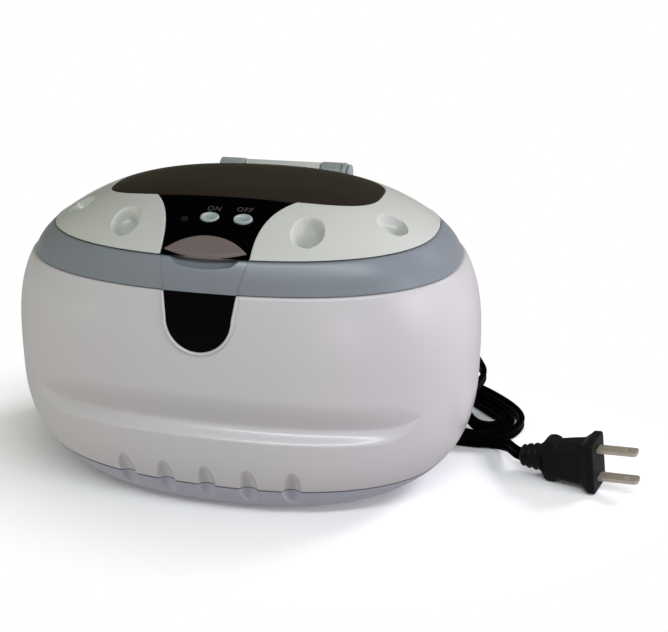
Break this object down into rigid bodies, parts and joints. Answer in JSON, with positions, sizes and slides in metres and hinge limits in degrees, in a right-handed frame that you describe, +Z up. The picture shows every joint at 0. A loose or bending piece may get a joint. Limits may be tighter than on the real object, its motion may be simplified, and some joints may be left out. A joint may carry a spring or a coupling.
{
  "type": "desktop ultrasonic cleaner",
  "caption": "Egg-shaped desktop ultrasonic cleaner with hinged lid, smoked window, two push buttons, steel tank and a power cord with a two-blade plug.",
  "frame": {"origin": "on the bench under the centre of the casing, leaving out the cord, its boot and the plug", "axes": "+Z up, -Y towards the front with the buttons, X along the casing's length"},
  "size_m": [0.2763, 0.2117, 0.1293],
  "materials": {
    "casing_white": "glossy pearl white moulding",
    "tray_grey": "satin blue-grey moulding",
    "ring_grey": "satin blue-grey moulding",
    "lid_white": "glossy white moulding",
    "frame_white": "satin white moulding",
    "badge_black": "polished black plate",
    "panel_black": "polished black panel",
    "smoked_window": "smoked brown polycarbonate",
    "smoked_lens": "smoked lens",
    "button_grey": "satin grey button",
    "indicator": "unlit indicator",
    "switch_black": "moulded black part",
    "board_green": "green laminate",
    "tank_steel": "drawn stainless steel",
    "seal_rubber": "black rubber seal",
    "boot_rubber": "black rubber boot",
    "foot_rubber": "dark rubber feet",
    "cord_black": "black flat twin cord",
    "plug_black": "black moulded plug",
    "blade_metal": "nickel-plated brass blades",
    "screw_steel": "zinc-plated steel",
    "pin_steel": "steel pin",
    "horn_aluminium": "turned aluminium",
    "piezo_ceramic": "fired ceramic",
    "electrode_brass": "thin brass plate",
    "mass_steel": "turned steel",
    "transformer_core": "ferrite core with taped winding",
    "capacitor_sleeve": "sleeved can",
    "wire_insulation": "insulated wires"
  },
  "bodies": {
    "base": {"body_shell": "casing_white", "base_cover": "tray_grey", "deck_ring": "ring_grey", "ring_insert": "ring_grey", "badge_plate": "badge_black", "tank": "tank_steel", "tank_gasket": "seal_rubber", "console_panel": "panel_black", "console_lens": "smoked_lens", "status_led": "indicator", "tact_switches": "switch_black", "switch_board": "board_green", "hinge_pin": "pin_steel", "strain_relief": "boot_rubber", "exit_lead": "cord_black", "cord_hank": "cord_black", "plug_lead": "cord_black", "plug_body": "plug_black", "plug_blades": "blade_metal", "rubber_feet": "foot_rubber", "base_screws": "screw_steel", "transducer_horn": "horn_aluminium", "piezo_rings": "piezo_ceramic", "electrode_plates": "electrode_brass", "transducer_back_mass": "mass_steel", "transducer_bolt": "screw_steel", "driver_board": "board_green", "board_screws": "screw_steel", "drive_transformer": "transformer_core", "filter_capacitor": "capacitor_sleeve", "heat_sink": "horn_aluminium", "power_transistors": "switch_black", "terminal_block": "switch_black", "transducer_leads": "wire_insulation", "mains_leads": "wire_insulation", "panel_leads": "wire_insulation"},
    "lid": {"lid_frame": "lid_white", "lid_window": "smoked_window", "lid_inner_frame": "frame_white", "lid_screws": "screw_steel"},
    "on_button": {"on_button": "button_grey", "on_plunger": "switch_black"},
    "off_button": {"off_button": "button_grey", "off_plunger": "switch_black"}
  },
  "joints": [
    {"name": "lid_hinge", "type": "hinge", "parent": "base", "child": "lid", "pos_m": [0, 0.065, 0.116], "axis": [-1, 0, 0], "range_deg": [0, 100]},
    {"name": "on_press", "type": "slide", "parent": "base", "child": "on_button", "axis": [0, 0.4519, -0.8921], "range_m": [0, 0.0008], "stiffness_N_per_m": 600, "springref_m": -0.0006},
    {"name": "off_press", "type": "slide", "parent": "base", "child": "off_button", "axis": [0, 0.4519, -0.8921], "range_m": [0, 0.0008], "stiffness_N_per_m": 600, "springref_m": -0.0006}
  ]
}
